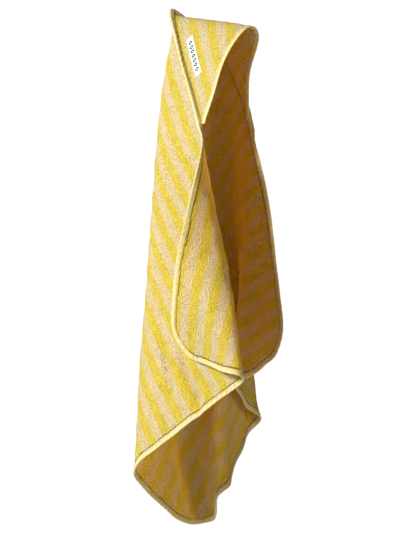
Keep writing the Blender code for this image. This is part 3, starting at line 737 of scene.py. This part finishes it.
hood_across *= np.sign((hood_across * hood_here[loop, 3:6])[count + 2:2 * count - 2].sum())
on_seam = np.zeros(len(loop))
on_seam[:count] = on_seam[2 * count - 1:] = 1
middle[loop] += hood_across * (on_seam * APART)[:, None]
for corner in (count - 1, 2 * count - 2):
    hood_across[corner] = hood_here[loop[corner], 3:6]
normal[loop] = unit(normal[loop] + hood_across)
strip = [(middle[loop] + hood_out * reach, hood_across) for reach in STRIP]
flat_hood = np.stack([hood_p, hood_q, 0 * hood_p], axis=1)
vertices, faces, places = thick(middle, normal, flat_hood, number, loop, strip, TERRY / 2)
hood = piece("terry_hood", "hood_panel", terry("striped_terry_hood"),
             uneven(vertices, places, HOOD_PATCH), faces, places)


# ---- tapes and threads ---------------------------------------------------------------------
def denser(values, times, closed):
    """Values along a line, smoothly interpolated at more points."""
    n = len(values)
    t = np.arange(n * times if closed else (n - 1) * times + 1) / times
    i = t.astype(int)
    f = (t - i)[:, None]
    at = (lambda k: values[(i + k) % n]) if closed else (lambda k: values[np.clip(i + k, 0, n - 1)])
    return (at(-1) * (-f + 2 * f**2 - f**3) + at(0) * (2 - 5 * f**2 + 3 * f**3)
            + at(1) * (f + 4 * f**2 - 3 * f**3) + at(2) * (f**3 - f**2)) / 2


PUCKER_PITCH, PUCKER_LEAN = 0.0125, 0.7
PUCKER_DEPTH, ROW_PUCKER = 0.00105, 0.00055     # of the tape, and of the stitches on it
CALM = 0.0008                   # up to this reach the tape hardly puckers


def pucker(s, reach, seed):
    """Height of the diagonal puckers that the stitching draws in a folded tape, from -1 to 0."""
    swing = 0.5 + 0.5 * np.sin(s * 23 + seed) * np.sin(s * 7.3 + 2 * seed)
    phase = (s + PUCKER_LEAN * (reach - NEAR)) / PUCKER_PITCH + 0.5 * np.sin(s * 31 + seed)
    ridge = 1 - np.abs(np.sin(np.pi * phase))**0.7
    return -(0.35 + 0.65 * swing) * ridge


# The tape's section: reach from its inner edge, and share of half its thickness there.
PROFILE = ((-0.0004, 0.66), (0.0004, 0.80), (0.0020, 0.90), (0.0044, 1.00), (0.0068, 0.98),
           (0.0086, 0.84), (0.0096, 0.50))
HOLLOW = ((0.0004, -0.35), (0.0070, -0.35), (0.0070, 0.35), (0.0004, 0.35))


def measured(line):
    """Length from each point to the next, the last to the first, and of the way to each point."""
    step = np.linalg.norm(np.diff(line, axis=0, append=line[:1]), axis=1)
    return step, np.concatenate([[0], np.cumsum(step)[:-1]])


def tape_mesh(line, out, across, half, closed, seed):
    """A folded tape along a line: both faces, the rounded fold, and its inside."""
    _, s = measured(line)
    rings, places = [], []
    for side in (1, -1):
        for reach, share in (PROFILE if side > 0 else PROFILE[::-1]):
            height = pucker(s, NEAR + reach, seed + side)
            level = half * share + PUCKER_DEPTH * height * (1 if reach > CALM else 0.2)
            rings.append(line + out * (NEAR + reach) + across * (side * level)[:, None])
            # Painted shade: darker in the hollows of the puckers, half as much near the inner edge.
            painted_shade = np.clip(-height - 0.30, 0, 1) * (1.0 if reach > CALM else 0.5)
            places.append(np.stack([s, 0 * s + side * (reach + 0.002), painted_shade], axis=1))
    for reach, share in HOLLOW:
        rings.append(line + out * (NEAR + reach) + across * (half * share)[:, None])
        # The inside of the fold gets half the painted shade.
        places.append(np.stack([s, 0 * s + reach, 0 * s + 0.5], axis=1))
    rings, places = np.stack(rings, axis=1), np.stack(places, axis=1)
    count, corners = rings.shape[:2]
    number = np.arange(count * corners).reshape(count, corners)
    number = np.hstack([number, number[:, :1]])
    faces = grid_faces(np.vstack([number, number[:1]]) if closed else number)
    if not closed:
        faces += [number[0, :-1][::-1].tolist(), number[-1, :-1].tolist()]
    return rings.reshape(-1, 3), faces, places.reshape(-1, 3)


STITCH, THREAD = 0.0030, 0.00042        # length of a stitch, and radius of the thread
ROW_REACH = 0.0016              # from the tape's inner edge to the row


def stitch_rows(line, out, across, half, closed, seed):
    """Rows of running stitches on both faces of a tape, each a thread that dips at its holes."""
    step, s = measured(line)
    total = s[-1] + (step[-1] if closed else 0)
    stitches = int(total / STITCH)
    per, around_it = 6, 6
    count = stitches * per + (0 if closed else 1)
    at = np.arange(count) * (total / (stitches * per))
    source = np.append(s, total) if closed else s

    def along_line(values):
        values = np.vstack([values, values[:1]]) if closed else values
        return np.stack([np.interp(at, source, values[:, k]) for k in range(values.shape[1])], axis=1)

    place, way, up = along_line(line), unit(along_line(out)), unit(along_line(across))
    deep = along_line(half[:, None])[:, 0]
    vertices, faces, flats = [], [], []
    for side in (1, -1):
        wave = np.abs(np.sin(np.pi * at * stitches / total))**0.45
        height = (deep * 0.93 + ROW_PUCKER * pucker(at, NEAR + ROW_REACH, seed + side)
                  + THREAD * (1.9 * wave - 1.0))
        centre = place + way * (NEAR + ROW_REACH) + up * (side * height)[:, None]
        first = len(vertices) * count * around_it
        angles = np.arange(around_it) * 2 * math.pi / around_it
        ring = (centre[:, None] + way[:, None] * (THREAD * np.cos(angles))[None, :, None]
                + up[:, None] * (side * THREAD * 0.8 * np.sin(angles))[None, :, None])
        number = first + np.arange(count * around_it).reshape(count, around_it)
        number = np.hstack([number, number[:, :1]])
        faces += grid_faces(np.vstack([number, number[:1]]) if closed else number, side < 0)
        if not closed:
            faces += [number[0, :-1].tolist(), number[-1, :-1][::-1].tolist()]
        vertices.append(ring.reshape(-1, 3))
        reached = np.repeat(at, around_it)
        turned = np.tile(np.arange(around_it) / around_it, count)
        flats.append(np.stack([reached, turned, 0 * reached], axis=1))
    return np.vstack(vertices), faces, np.vstack(flats)


TAPE_HALF, SEAM_EXTRA = 0.00205, 0.0013         # half the thickness, and more along the seams
EDGE_SEED, HOOD_SEED = 0.7, 3.1
FAN, FAN_BOW = 9, 0.8           # points of the turn at the tip, and how far it bows outwards

out, across = smoothed_loop(out, 2), smoothed_loop(across, 2)
frames = np.hstack([line, out, across, seam_share[:, None]])
# At the tip the tape turns from one seam's way out to the other's.
share = np.linspace(0, 1, FAN)[:, None]
fan = frames[-1] * (1 - share) + frames[1] * share
fan[:, :3] = line[0]
fan[:, 3:6] = unit(fan[:, 3:6] + tip_way * (FAN_BOW * 4 * share * (1 - share)))
fan[:, 9] = 1
frames = denser(np.vstack([fan, frames[1:]]), 2, True)
line_t, out_t, across_t = frames[:, :3], unit(frames[:, 3:6]), unit(frames[:, 6:9])
seam_t = np.clip(frames[:, 9], 0, 1)
half_t = TAPE_HALF + SEAM_EXTRA * seam_t
vertices, faces, places = tape_mesh(line_t, out_t, across_t, half_t, True, EDGE_SEED)
edge = piece("edge_tape", "edge_binding", tape("edge_bias_tape"), vertices, faces, places)
vertices, faces, places = stitch_rows(line_t, out_t, across_t, half_t, True, EDGE_SEED)
edge_thread = piece("edge_stitching", "edge_thread",
                    thread("edge_cotton_thread", (0.66, 0.55, 0.33)), vertices, faces, places)

open_here = hood_here[opening_loop]
open_line = open_here[:, :3]
open_along = unit(np.gradient(open_line, axis=0))
open_out = square_to(unit(open_here[:, 6:9] + open_here[:, 9:12]), open_along)
open_across = unit(np.cross(open_out, open_along))
open_frames = denser(np.hstack([open_line, open_out, open_across]), 2, False)
open_half = np.full(len(open_frames), TAPE_HALF)
open_frames = [open_frames[:, :3], unit(open_frames[:, 3:6]), unit(open_frames[:, 6:9])]
vertices, faces, places = tape_mesh(*open_frames, open_half, False, HOOD_SEED)
hood_edge = piece("hood_tape", "hood_binding", tape("hood_bias_tape"), vertices, faces, places)
vertices, faces, places = stitch_rows(*open_frames, open_half, False, HOOD_SEED)
hood_thread = piece("hood_stitching", "hood_thread",
                    thread("hood_cotton_thread", (0.65, 0.54, 0.32)), vertices, faces, places)

# ---- label ---------------------------------------------------------------------------------
LABEL_LONG, LABEL_WIDE = 0.100, 0.017
LABEL_AT = (0.136, 0.027)       # flat place of its middle on the hood
LABEL_HALF = 0.0003             # half its thickness
PUFF, TUCK = 0.0004, 0.002      # its middle stands proud, and sinks to its edge over this
ROW_HALF, MARK_PITCH, MARK_HALF = 0.0405, 0.0116, 0.0062        # of the woven lozenges
LABEL_WEAVE = 15000             # radians for each metre along it
u, v = np.meshgrid(np.linspace(-0.5, 0.5, 81), np.linspace(-0.5, 0.5, 15), indexing="ij")
label_here = sampled(hood_all, COARSE, LABEL_AT[0] + u * LABEL_LONG, LABEL_AT[1] + v * LABEL_WIDE)
from_edge = np.minimum((0.5 - abs(u)) * LABEL_LONG, (0.5 - abs(v)) * LABEL_WIDE)
lift = (TERRY / 2 + CLEAR + PUFF * np.clip(from_edge / TUCK, 0, 1)
        + 0.00012 * np.sin(u * 140) * np.sin(v * 9))
middle = label_here[..., :3] + label_here[..., 3:6] * lift[..., None]
number = np.arange(u.size).reshape(u.shape)
loop = around(number)
flat_label = np.stack([u.ravel() * LABEL_LONG, v.ravel() * LABEL_WIDE, 0 * u.ravel()], axis=1)
vertices, faces, places = thick(middle.reshape(-1, 3), label_here[..., 3:6].reshape(-1, 3),
                                flat_label, number, loop, [], LABEL_HALF)
material, tree, shader = new_material("woven_label_satin", 0.55, 0.1)
_, long, wide, _ = flat_place(tree)
inside_row = maths(tree, "LESS_THAN", maths(tree, "ABSOLUTE", long), ROW_HALF)
turn = maths(tree, "ADD", maths(tree, "DIVIDE", long, MARK_PITCH), 100.5)
cell = maths(tree, "ABSOLUTE", maths(tree, "SUBTRACT", maths(tree, "FRACT", turn), 0.5))
lozenge = maths(tree, "ADD", maths(tree, "MULTIPLY", cell, 2.25),
                maths(tree, "DIVIDE", maths(tree, "ABSOLUTE", wide), MARK_HALF))
solid = maths(tree, "LESS_THAN", lozenge, 1.0)
hole = maths(tree, "GREATER_THAN", lozenge, 0.36)
mark = maths(tree, "MULTIPLY", maths(tree, "MULTIPLY", solid, hole), inside_row)
weave = maths(tree, "SINE", maths(tree, "MULTIPLY", long, LABEL_WEAVE))
shade = maths(tree, "ADD", maths(tree, "MULTIPLY", weave, 0.2), 0.2)
ground = mix(tree, shade, (0.66, 0.66, 0.65), (0.54, 0.53, 0.51))
tree.links.new(mix(tree, mark, ground, (0.02, 0.018, 0.028)), shader.inputs["Base Color"])
bump(tree, shader, weave, 0.00008, 0.7)
label = piece("sewn_label", "woven_label", material, vertices, faces, places)

INSET = 0.0015                  # of the stitches round it
SEWN_RADIUS, SEWN_LIFT, SEWN_RISE, SEWN_STEP = 0.0003, 0.0009, 0.00035, 0.0016
half_long, half_wide = LABEL_LONG / 2 - INSET, LABEL_WIDE / 2 - INSET
corners = [(-1, -1), (1, -1), (1, 1), (-1, 1)]
route = []
for k in range(4):
    (x0, y0), (x1, y1) = corners[k], corners[(k + 1) % 4]
    n = 60 if y0 == y1 else 10
    for t in np.arange(n) / n:
        route.append(((x0 + (x1 - x0) * t) * half_long, (y0 + (y1 - y0) * t) * half_wide))
route = np.array(route)
here = sampled(hood_all, COARSE, LABEL_AT[0] + route[:, 0], LABEL_AT[1] + route[:, 1])
steps = np.arange(len(route))
wave = np.abs(np.sin(np.pi * steps / 2.0 + 0.4))
centre = here[:, :3] + here[:, 3:6] * (TERRY / 2 + SEWN_LIFT + SEWN_RISE * wave)[:, None]
along = unit(np.roll(centre, -1, axis=0) - np.roll(centre, 1, axis=0))
side = unit(np.cross(along, here[:, 3:6]))
angles = np.arange(6) * math.pi / 3
ring = (centre[:, None] + side[:, None] * (SEWN_RADIUS * np.cos(angles))[None, :, None]
        + here[:, None, 3:6] * (SEWN_RADIUS * np.sin(angles))[None, :, None])
number = np.arange(len(route) * 6).reshape(-1, 6)
number = np.hstack([number, number[:, :1]])
places = np.stack([np.repeat(steps * SEWN_STEP, 6), np.tile(np.arange(6) / 6, len(route)),
                   0 * np.repeat(steps, 6)], axis=1)
label_thread = piece("label_stitching", "label_thread",
                     thread("label_white_thread", (0.58, 0.57, 0.54)),
                     ring.reshape(-1, 3), grid_faces(np.vstack([number, number[:1]])), places)

# ---- stage, light and camera ---------------------------------------------------------------
FLOOR_HALF, FLOOR_LEVEL = 3, -1.32
floor_ends = [(x * FLOOR_HALF, y * FLOOR_HALF, FLOOR_LEVEL) for x, y in corners]
mesh = bpy.data.meshes.new("floor")
mesh.from_pydata(floor_ends, [], [(0, 1, 2, 3)])
floor = bpy.data.objects.new("floor", mesh)
bpy.context.scene.collection.objects.link(floor)
paint = bpy.data.materials.new("pale_floor")
paint.use_nodes = True
paint.node_tree.nodes["Principled BSDF"].inputs["Base Color"].default_value = (0.85, 0.85, 0.85, 1)
paint.node_tree.nodes["Principled BSDF"].inputs["Roughness"].default_value = 0.9
mesh.materials.append(paint)

# The towel is lit by a faint even light and two lamps, before a backdrop that lights nothing.
scene = bpy.context.scene
scene.view_settings.view_transform = "Standard"
world = bpy.data.worlds.new("studio")
scene.world = world
world.use_nodes = True
tree = world.node_tree
ground = tree.nodes["Background"]
ground.inputs["Color"].default_value = (1, 1, 1, 1)
ground.inputs["Strength"].default_value = 0.014
white = tree.nodes.new("ShaderNodeBackground")
white.inputs["Color"].default_value = (1, 1, 1, 1)
white.inputs["Strength"].default_value = 1.05
path = tree.nodes.new("ShaderNodeLightPath")
both = tree.nodes.new("ShaderNodeMixShader")
tree.links.new(path.outputs["Is Camera Ray"], both.inputs[0])
tree.links.new(ground.outputs[0], both.inputs[1])
tree.links.new(white.outputs[0], both.inputs[2])
tree.links.new(both.outputs[0], tree.nodes["World Output"].inputs["Surface"])


def lamp(name, at, aim, size, watts, colour):
    data = bpy.data.lights.new(name, "AREA")
    data.shape, data.size, data.size_y = "RECTANGLE", size[0], size[1]
    data.energy, data.color = watts, colour
    thing = bpy.data.objects.new(name, data)
    thing.location = at
    thing.rotation_euler = (Vector(aim) - Vector(at)).to_track_quat("-Z", "Y").to_euler()
    scene.collection.objects.link(thing)


lamp("key", (-2.8, -2.3, 1.2), (0, 0, -0.45), (0.7, 0.9), 335, (0.91, 1.0, 0.93))
lamp("fill", (2.6, -2.4, -0.1), (0, 0, -0.5), (1.6, 1.6), 44, (1.0, 0.80, 0.30))

camera = bpy.data.objects.new("camera", bpy.data.cameras.new("camera"))
scene.collection.objects.link(camera)
DISTANCE, HALF_HEIGHT, SENSOR = 8.0, 0.544, 36      # half the height that is framed at the towel
camera.location = (-0.042, -DISTANCE, -0.510)
camera.rotation_euler = (math.radians(90), 0, 0)
camera.data.sensor_width = SENSOR
camera.data.lens = SENSOR / 2 * DISTANCE / HALF_HEIGHT
camera.data.clip_end = 100
scene.camera = camera
